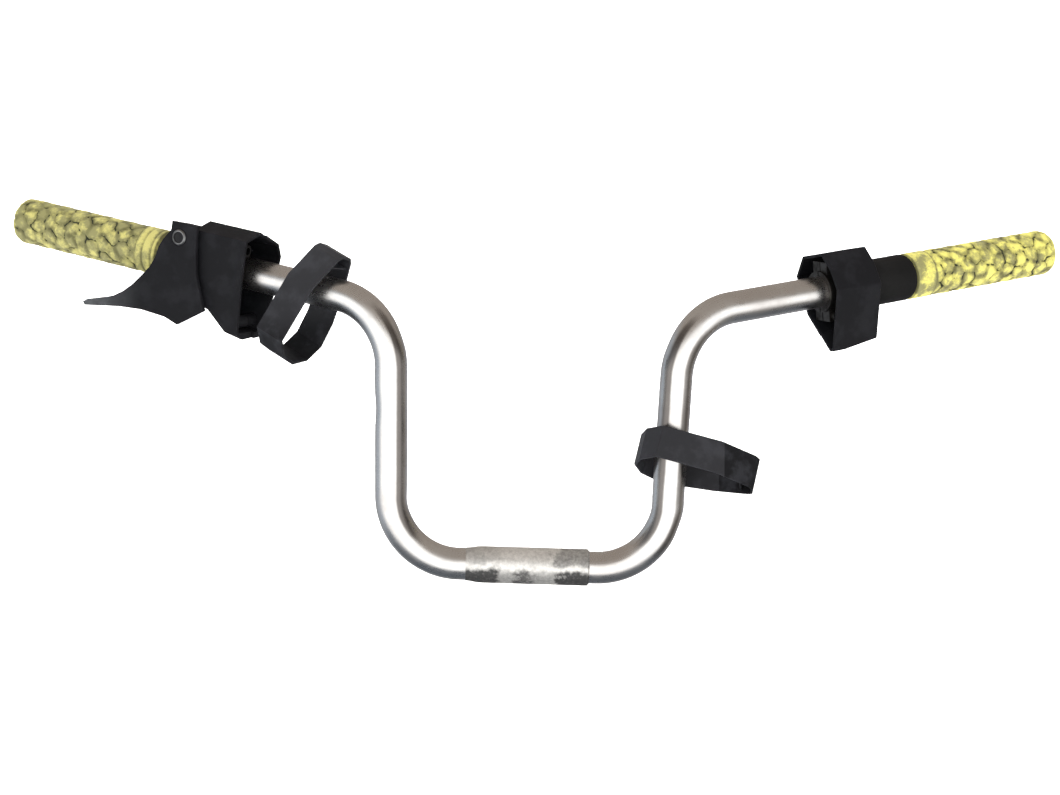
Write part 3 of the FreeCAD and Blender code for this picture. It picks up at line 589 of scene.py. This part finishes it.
def tube_painted_shade(spot, direction, out):
    """Painted shade along the risers, on their sides that face each other, standing in for a darker
    reflection there.
    """
    facing = out.dot(Vector((-direction.z, 0.0, direction.x)).normalized())
    steep = float(smooth_step(0.45, 0.95, abs(direction.z)))
    painted_reflection = steep * stripe(facing, 0.24, 0.48)
    if spot.x > 0:
        painted_reflection += 0.8 * steep * stripe(-facing, 0.30, 0.50)
    return painted_reflection


def stripe(facing, start, full):
    """1 on the side facing out from the middle, fading again near the very edge."""
    rise = float(smooth_step(start, full, facing))
    fade = float(smooth_step(full + 0.14, full + 0.40, facing))
    return rise * (1.0 - 0.8 * fade)


def tube_dent(spot, out):
    """Small dents and bending ripples, in millimetres, never standing far out."""
    side = -1.0 if spot.x < 0 else 1.0
    inner = max(-side * out.x, 0.0)
    outer = max(side * out.x, 0.0)
    deep = 0.0
    if spot.z < 150.0:
        if side < 0:
            deep -= 0.7 * outer * float(bump_at(spot.z, 106.0, 9.0))
            deep += 0.25 * outer * float(bump_at(spot.z, 128.0, 9.0))
        else:
            deep -= 0.45 * outer * float(bump_at(spot.z, 30.0, 7.0))
            deep += 0.2 * outer * float(bump_at(spot.z, 44.0, 7.0))
        deep -= 0.35 * inner * float(bump_at(spot.z, 42.0, 8.0))
    else:
        deep -= 0.3 * inner * float(bump_at(spot.z, 158.0, 10.0))
    return deep


def make_clamp_sleeve():
    """Knurled clamp section, with a long soft shoulder on the left and a short one on the right."""
    around = 160
    count = 200
    half = SLEEVE_HALF
    points = []
    along = []
    turn = []
    for row in range(count + 1):
        x = -half + 2.0 * half * row / count
        edge = half - abs(x)
        reach = LONG_SHOULDER if x < 0 else SHORT_SHOULDER
        shoulder = SLEEVE_DROP * (1.0 - float(smooth_step(0.0, reach, np.array(edge))))
        worn = float(smooth_step(0.5, 4.0, np.array(edge)))
        for step in range(around):
            angle = 2.0 * math.pi * step / around
            across = angle * SLEEVE_RADIUS
            ridge = math.sin((x + across) * math.pi / KNURL_PITCH)
            ridge *= math.sin((x - across) * math.pi / KNURL_PITCH)
            patch = 0.5 + 0.5 * math.sin(x * 0.21 + 1.3) * math.cos(angle * 2.0 + x * 0.07)
            radius = SLEEVE_RADIUS - shoulder - 0.07 * worn * patch * (1.0 - ridge)
            points.append(Vector((x, radius * math.cos(angle), radius * math.sin(angle))) * MM)
            along.append(x * MM)
            turn.append(step / around)
    faces = [face[::-1] for face in ring_faces(count + 1, around)]
    ends = []
    for row, x in ((0, -half), (count, half)):
        first = len(points)
        for step in range(around):
            angle = 2.0 * math.pi * step / around
            inside = TUBE_RADIUS + 0.02
            points.append(Vector((x, inside * math.cos(angle), inside * math.sin(angle))) * MM)
            along.append(x * MM)
            turn.append(step / around)
        ends.append(first)
        rim = row * around
        for step in range(around):
            after = (step + 1) % around
            face = (rim + step, rim + after, first + after, first + step)
            faces.append(face if row == 0 else face[::-1])
    piece = mesh_object("clamp_section", points, faces)
    add_metric_uv(piece.data, along, turn, 1.0, SLEEVE_RADIUS * MM)
    return own_piece(piece, "bar", "clamp_sleeve", MATERIALS["worn_steel"])


# ------------------------------------------------------------------------ grips

# How dirty the plain bands look on each side, lower being cleaner.
BAND_TONES = {-1: -0.8, 1: 0.9}
# Smooth raised bands at each grip's inner end, as (start, end) in millimetres.
THROTTLE_BANDS = ((0.0, 3.0), (4.0, 10.5), (11.5, 17.0))
CONTROL_BANDS = ((0.0, 16.0),)
GRIP_AROUND = 168
SCALE_PITCH = 11.2
SCALE_JITTER = 0.26
SCALE_WAVER = 0.07
GROOVE_WIDTH = 0.95
GROOVE_DEPTH = 1.0


def scale_centres(start, end, random):
    """Jittered honeycomb of scale centres as (along, round), in millimetres."""
    girth = 2.0 * math.pi * GRIP_RADIUS
    columns = round(girth / SCALE_PITCH)
    pitch = girth / columns
    step = pitch * math.sqrt(3.0) / 2.0
    centres = []
    for row in range(int((end - start) / step) + 4):
        for column in range(columns):
            along = start - step + row * step + random.uniform(-1, 1) * pitch * SCALE_JITTER
            across = (column + 0.5 * (row % 2)) * pitch + random.uniform(-1, 1) * pitch * SCALE_JITTER
            centres.append((along, across % girth))
    return np.array(centres), girth


def scale_relief(along, across, centres, girth):
    """For each point: distance to the nearest crack, nearness to a corner, its scale and its seam.

    The seam is a number from 0 to 1 shared by the two scales that meet at a crack.
    """
    crack = np.zeros(len(along))
    corner = np.zeros(len(along))
    owner = np.zeros(len(along), int)
    seam = np.zeros(len(along))
    for low in range(0, len(along), 4000):
        rows = slice(low, low + 4000)
        gap_along = along[rows, None] - centres[None, :, 0]
        gap_round = np.abs(across[rows, None] - centres[None, :, 1]) % girth
        gap = np.hypot(gap_along, np.minimum(gap_round, girth - gap_round))
        order = np.argsort(gap, axis=1)[:, :3]
        near = np.take_along_axis(gap, order, axis=1)
        nearest, other = order[:, 0], order[:, 1]
        apart_round = np.abs(centres[nearest, 1] - centres[other, 1])
        apart_round = np.minimum(apart_round, girth - apart_round)
        apart = np.hypot(centres[nearest, 0] - centres[other, 0], apart_round)
        crack[rows] = (near[:, 1] ** 2 - near[:, 0] ** 2) / (2.0 * np.maximum(apart, 0.1))
        corner[rows] = 1.0 - smooth_step(0.5, 3.6, near[:, 2] - near[:, 0])
        owner[rows] = nearest
        seam[rows] = ((nearest + other) * 37 + nearest * other * 11) % 101 / 100.0
    return crack, corner, owner, seam


def wave_sum(run, share, random, pitches, turns, count):
    """Sum of waves over a grip, each joining up round the grip."""
    total = np.zeros(len(run))
    for wave in range(count):
        pitch = random.uniform(*pitches)
        winds = int(random.integers(-turns, turns + 1))
        phase = random.uniform(0.0, 2.0 * math.pi)
        total += np.sin(2.0 * math.pi * (pitch * run + winds * share) + phase)
    return total


def soft_field(run, share, random):
    """Smooth random field over a grip, mostly 0 or 1."""
    return smooth_step(-2.4, 2.6, wave_sum(run, share, random, (0.02, 0.075), 6, 14))


def grip_rows(length):
    """Stations along a grip: even along its body, finer round the closed end."""
    body = list(np.linspace(0.0, length - 6.0, int((length - 6.0) / 0.62) + 1))
    cap = 6.0
    rows = [(s, GRIP_RADIUS) for s in body]
    for step in range(1, 15):
        angle = math.pi / 2.0 * step / 14
        rows.append((length - cap + cap * math.sin(angle), GRIP_RADIUS - 5.2 + 5.2 * math.cos(angle)))
    flat = GRIP_RADIUS - 5.2
    for step in range(1, 14):
        rows.append((length, flat * (1.0 - step / 14.0)))
    return rows


def grip_skin(side, run, share, length, bands, random):
    """Relief in millimetres over a grip, with how cracked, toned and soiled each point is."""
    band_end = bands[-1][1]
    centres, girth = scale_centres(band_end, length + 14.0, random)
    drift = wave_sum(run, share, random, (0.10, 0.26), 22, 12) * SCALE_WAVER
    slip = wave_sum(run, share, random, (0.10, 0.26), 22, 12) * SCALE_WAVER
    crack, corner, owner, seam = scale_relief(run + drift, share * girth + slip, centres, girth)
    tone = random.uniform(-0.7, 1.0, len(centres))[owner]
    filled = random.uniform(0.6, 1.0, len(centres))[owner]
    filled = np.maximum(filled * (0.1 + 0.9 * soft_field(run, share, random)), 0.75 * corner)
    filled = filled * (0.22 + 0.78 * smooth_step(0.2, 0.65, seam))
    wide = 0.4 + 0.6 * soft_field(run, share, random) + 1.8 * corner * soft_field(run, share, random)
    on_scales = smooth_step(band_end + 0.4, band_end + 1.6, run)
    groove = (1.0 - smooth_step(0.1, GROOVE_WIDTH * wide, crack)) * on_scales
    dome = smooth_step(0.0, 4.2, crack) * 0.32 * on_scales
    grit = random.uniform(-1.0, 1.0, len(run)) * 0.035
    ends = 1.0 - smooth_step(length + 2.0, length + 8.0, run)
    relief = (0.25 + dome - GROOVE_DEPTH * groove * filled + grit) * ends
    relief = band_relief(run, bands, relief)
    ring_gap = 1.0 - smooth_step(0.0, 0.55, relief)
    rim = bump_at(run, length + 0.5, 3.5)
    soil = (1.0 - smooth_step(0.5, 3.4, crack)) * (0.55 + 0.45 * soft_field(run, share, random))
    soil = np.where(on_scales > 0.5, soil * (1.0 - 0.8 * rim), 0.8 * ring_gap)
    tone = np.where(on_scales > 0.5, tone - 2.6 * rim, BAND_TONES[side] + 1.2 * ring_gap)
    darkness = groove * filled * ends * (1.0 - 0.9 * rim)
    return relief, darkness, tone, soil


def make_grip(side, node, bands, seed):
    """Rubber grip with cracked scales in relief, smooth bands inside and a round end."""
    random = np.random.default_rng(seed)
    start = GRIP_STARTS[side]
    length = GRIP_ENDS[side] - start
    around = GRIP_AROUND
    rows = grip_rows(length)
    place = frame_along(riser_corner(side) + grip_direction(side) * start, grip_direction(side))
    s = np.repeat([row[0] for row in rows], around)
    r = np.repeat([row[1] for row in rows], around)
    travel = [0.0]
    for first, second in zip(rows, rows[1:]):
        travel.append(travel[-1] + math.hypot(second[0] - first[0], second[1] - first[1]))
    run = np.repeat(travel, around)
    share = np.tile(np.arange(around) / around, len(rows))
    relief, darkness, tone, soil = grip_skin(side, run, share, length, bands, random)
    angle = share * 2.0 * math.pi
    bend = np.clip((run - (length - 6.0)) / 8.2, 0.0, 1.0) * math.pi / 2.0
    radius = np.maximum(r + relief * np.cos(bend), 0.0)
    station = s + relief * np.sin(bend)
    points = np.stack([station, radius * np.cos(angle), radius * np.sin(angle)], axis=1)
    faces = ring_faces(len(rows), around)
    last = (len(rows) - 1) * around
    tip = len(points)
    inner = TUBE_RADIUS + 0.05
    extra = [[length, 0.0, 0.0]]
    for step in range(around):
        turn = 2.0 * math.pi * step / around
        extra.append([0.0, inner * math.cos(turn), inner * math.sin(turn)])
    points = np.concatenate([points, np.array(extra)])
    for step in range(around):
        after = (step + 1) % around
        faces.append((last + step, last + after, tip))
        faces.append((tip + 1 + step, tip + 1 + after, after, step))
    spots = [place @ Vector(p) * MM for p in points.tolist()]
    piece = mesh_object(node + "_scales", spots, faces)
    padding = np.zeros(len(extra))
    for name, values in (("crack", darkness), ("tone", tone), ("soil", soil)):
        add_float(piece.data, name, np.concatenate([values, padding]))
    return own_piece(piece, "bar", node, MATERIALS["yellow_rubber"])


def band_relief(run, bands, relief):
    """Raised smooth bands at the inner end, with a narrow groove between them."""
    total = np.zeros(len(run))
    for band_start, band_stop in bands:
        rise = smooth_step(band_start - 0.1, band_start + 0.9, run)
        fall = 1.0 - smooth_step(band_stop - 0.9, band_stop + 0.1, run)
        total = np.maximum(total, 0.62 * rise * fall)
    return np.where(run < bands[-1][1] + 0.2, total, relief)


# ---------------------------------------------------------------- black mouldings

SHARP_ANGLE = math.radians(25.0)


def rounded_copy(node, name, width, segments):
    """A copy of a CAD node's surface with its edges rounded and marked for wear."""
    source = frame["nodes"][node]
    mesh = source.data.copy()
    mesh.name = name
    work = bmesh.new()
    work.from_mesh(mesh)
    bmesh.ops.remove_doubles(work, verts=work.verts, dist=0.000004)
    bmesh.ops.dissolve_limit(
        work, angle_limit=math.radians(1.0), verts=work.verts, edges=work.edges
    )
    work.to_mesh(mesh)
    work.free()
    mesh.materials.clear()
    mesh.materials.append(MATERIALS["black_plastic"])
    mesh.materials.append(MATERIALS["black_rubber"])
    for face in mesh.polygons:
        face.material_index = 0
    piece = bpy.data.objects.new(name, mesh)
    bpy.context.scene.collection.objects.link(piece)
    bevel = piece.modifiers.new("round", "BEVEL")
    bevel.width = width * MM
    bevel.segments = segments
    bevel.limit_method = "ANGLE"
    bevel.angle_limit = SHARP_ANGLE
    bevel.miter_outer = "MITER_ARC"
    bevel.material = 1
    bevel.harden_normals = False
    bevel.use_clamp_overlap = True
    bpy.context.view_layer.update()
    graph = bpy.context.evaluated_depsgraph_get()
    rounded = bpy.data.meshes.new_from_object(piece.evaluated_get(graph))
    piece.modifiers.clear()
    piece.data = rounded
    edge = np.zeros(len(rounded.vertices))
    for face in rounded.polygons:
        if face.material_index == 1:
            for index in face.vertices:
                edge[index] = 1.0
        face.material_index = 0
    if "edge" in rounded.attributes:
        rounded.attributes.remove(rounded.attributes["edge"])
    add_float(rounded, "edge", edge)
    rounded.shade_smooth()
    normals = piece.modifiers.new("face_normals", "WEIGHTED_NORMAL")
    normals.keep_sharp = False
    normals.weight = 60
    return piece


# What is rounded over, and by how much. Sharper bends than SHARP_ANGLE count as edges.
ROUNDED = (
    # node, body, slot, material, rounding in mm, segments
    ("control_side_spacer", "bar", "black_rubber", "black_rubber", 0.5, 2),
    ("throttle_front_shell", "bar", "black_plastic", "black_plastic", 0.8, 3),
    ("throttle_rear_shell", "bar", "black_plastic", "black_plastic", 0.8, 3),
    ("control_front_shell", "bar", "black_plastic", "black_plastic", 0.9, 3),
    ("control_rear_shell", "bar", "black_plastic", "black_plastic", 0.9, 3),
    ("throttle_lever", "thumb_lever", "black_plastic", "pale_tip_lever", 0.7, 3),
    ("throttle_side_strap", "hanging_strap", "strap_plastic", "strap_plastic", 0.6, 3),
    ("riser_strap", "riser_band", "strap_plastic", "strap_plastic", 0.6, 3),
)


def make_mouldings():
    """The black pieces, each as a rounded copy of its CAD node."""
    for node, body, slot, material, width, segments in ROUNDED:
        piece = rounded_copy(node, node + "_moulding", width, segments)
        own_piece(piece, body, node, MATERIALS[material])


# --------------------------------------------------------------- other CAD nodes


def paint_cad_nodes():
    """The hardware keeps its CAD surfaces and takes its finish by material slot."""
    for entry in frame["record"]["subparts"]:
        node = frame["nodes"][entry["node"]]
        node.data.materials.clear()
        node.data.materials.append(MATERIALS[entry["material_slot"]])


# ---------------------------------------------------------------------- studio


FLOOR_DROP = 0.25
FLOOR_GLOW = 0.55
BACKDROP_BOTTOM = -0.6
STUDIO_BACK = 3.0
STUDIO_HALF = 4.0


def make_floor():
    """Pale floor well below the bar, so that no shadow falls near it."""
    level = CAD_LOW.z - FLOOR_DROP
    points = [
        (-STUDIO_HALF, -STUDIO_HALF, level),
        (STUDIO_HALF, -STUDIO_HALF, level),
        (STUDIO_HALF, STUDIO_BACK, level),
        (-STUDIO_HALF, STUDIO_BACK, level),
    ]
    floor = mesh_object("floor", points, [(0, 1, 2, 3)])
    floor.data.materials.append(floor_material())
    floor.visible_glossy = False
    floor.visible_shadow = False
    return floor


def make_backdrop():
    """Pale wall behind, reaching down past the floor so that no gap shows."""
    points = [
        (-STUDIO_HALF, STUDIO_BACK, BACKDROP_BOTTOM),
        (STUDIO_HALF, STUDIO_BACK, BACKDROP_BOTTOM),
        (STUDIO_HALF, STUDIO_BACK, STUDIO_HALF),
        (-STUDIO_HALF, STUDIO_BACK, STUDIO_HALF),
    ]
    wall = mesh_object("backdrop", points, [(0, 1, 2, 3)])
    wall.data.materials.append(floor_material())
    wall.visible_glossy = False
    wall.visible_shadow = False
    return wall


def area_light(name, place, aim, power, wide, high, color=(1.0, 1.0, 1.0)):
    light = bpy.data.lights.new(name, "AREA")
    light.shape = "RECTANGLE"
    light.size = wide
    light.size_y = high
    light.energy = power
    light.color = color
    lamp = bpy.data.objects.new(name, light)
    lamp.location = place
    lamp.rotation_mode = "QUATERNION"
    lamp.rotation_quaternion = (Vector(aim) - Vector(place)).to_track_quat("-Z", "Y")
    bpy.context.scene.collection.objects.link(lamp)
    return lamp


# Directions are bearings from the front and heights above the horizon, in radians.
FRONT_HALF_WIDTH = 1.5
FRONT_HEIGHT = -0.12
FRONT_HALF_HEIGHT = 0.62
FRONT_LIGHT = (1.95, 1.95, 1.95)
DARK_BELOW = (0.13, 0.145, 0.17)
WARM_ABOVE = (0.42, 0.37, 0.33)
LEFT_SIDE = (0.52, 0.58, 0.66)
RIGHT_SIDE = (0.26, 0.235, 0.21)
BEHIND_BELOW = (0.42, 0.43, 0.46)


def make_world():
    """Soft light all round: a broad bright front with dimmer sides, top and floor."""
    world = bpy.data.worlds.new("studio")
    world.use_nodes = True
    m = Nodes(world.node_tree)
    direction = m.tree.nodes.new("ShaderNodeTexCoord").outputs["Generated"]
    sideways = m.axis(direction, "X")
    rearward = m.axis(direction, "Y")
    upward = m.axis(direction, "Z")
    bearing = m.math("ARCTAN2", sideways, m.math("MULTIPLY", rearward, -1.0))
    height = m.math("ARCSINE", upward)
    wide = m.math("DIVIDE", bearing, FRONT_HALF_WIDTH)
    tall = m.math("DIVIDE", m.math("SUBTRACT", height, FRONT_HEIGHT), FRONT_HALF_HEIGHT)
    reach = m.math("ADD", m.math("MULTIPLY", wide, wide), m.math("MULTIPLY", tall, tall))
    outside = m.spread(m.math("SQRT", reach), 0.72, 1.15)
    around = m.mix(m.spread(upward, -0.55, 0.35), DARK_BELOW, WARM_ABOVE)
    level = m.window(upward, -0.6, 0.45, 0.2)
    left = m.spread(sideways, -0.75, -0.3, 1.0, 0.0)
    around = m.mix(m.math("MULTIPLY", left, level), around, LEFT_SIDE)
    right = m.spread(sideways, 0.3, 0.75)
    around = m.mix(m.math("MULTIPLY", right, level), around, RIGHT_SIDE)
    low = m.spread(upward, -0.1, 0.3, 1.0, 0.0)
    behind = m.math("MULTIPLY", m.spread(rearward, 0.35, 0.8), low)
    around = m.mix(behind, around, BEHIND_BELOW)
    background = m.tree.nodes["Background"]
    m.link(m.mix(outside, FRONT_LIGHT, around), background.inputs["Color"])
    bpy.context.scene.world = world


def make_studio():
    """World light, one soft lamp above and two that keep the floor and backdrop white."""
    make_world()
    centre = (0.0, 0.05, 0.12)
    top = area_light("top", (0.1, -0.5, 1.9), centre, 16.0, 1.8, 1.2, (1.0, 0.98, 0.96))
    top.visible_glossy = False
    washes = (
        area_light("floor_wash", (0.0, 1.0, 1.6), (0.0, 2.2, 0.0), 14.0, 3.0, 1.0),
        area_light("wall_wash", (0.0, 1.2, 1.8), (0.0, 3.0, 0.6), 40.0, 3.0, 1.0),
    )
    for lamp in washes:
        lamp.visible_glossy = False


CAMERA_LENS = 78.95
CAMERA_AZIMUTH = math.radians(-1.310)
CAMERA_ELEVATION = math.radians(7.937)
CAMERA_ROLL = math.radians(1.969)
CAMERA_DISTANCE = 1589.2
CAMERA_TARGET = Vector((-2.13, 0.0, 117.25))


def make_camera():
    """Camera looking almost straight from the front, slightly from above."""
    level = math.cos(CAMERA_ELEVATION)
    back = Vector((
        math.sin(CAMERA_AZIMUTH) * level,
        -math.cos(CAMERA_AZIMUTH) * level,
        math.sin(CAMERA_ELEVATION),
    ))
    right = (-back).cross(Vector((0, 0, 1))).normalized()
    up = right.cross(-back)
    turned_right = right * math.cos(CAMERA_ROLL) + up * math.sin(CAMERA_ROLL)
    turned_up = up * math.cos(CAMERA_ROLL) - right * math.sin(CAMERA_ROLL)
    data = bpy.data.cameras.new("camera")
    data.lens = CAMERA_LENS
    data.sensor_width = 36.0
    data.clip_start = 0.05
    data.clip_end = 50.0
    camera = bpy.data.objects.new("camera", data)
    turn = Matrix((turned_right, turned_up, back)).transposed().to_4x4()
    camera.matrix_world = Matrix.Translation((CAMERA_TARGET + back * CAMERA_DISTANCE) * MM) @ turn
    bpy.context.scene.collection.objects.link(camera)
    bpy.context.scene.camera = camera


paint_cad_nodes()
make_tube()
make_clamp_sleeve()
make_grip(-1, "throttle_side_grip", THROTTLE_BANDS, 11)
make_grip(1, "control_side_grip", CONTROL_BANDS, 23)
make_mouldings()
make_floor()
make_backdrop()
make_studio()
make_camera()
bpy.context.scene.view_settings.view_transform = "Standard"
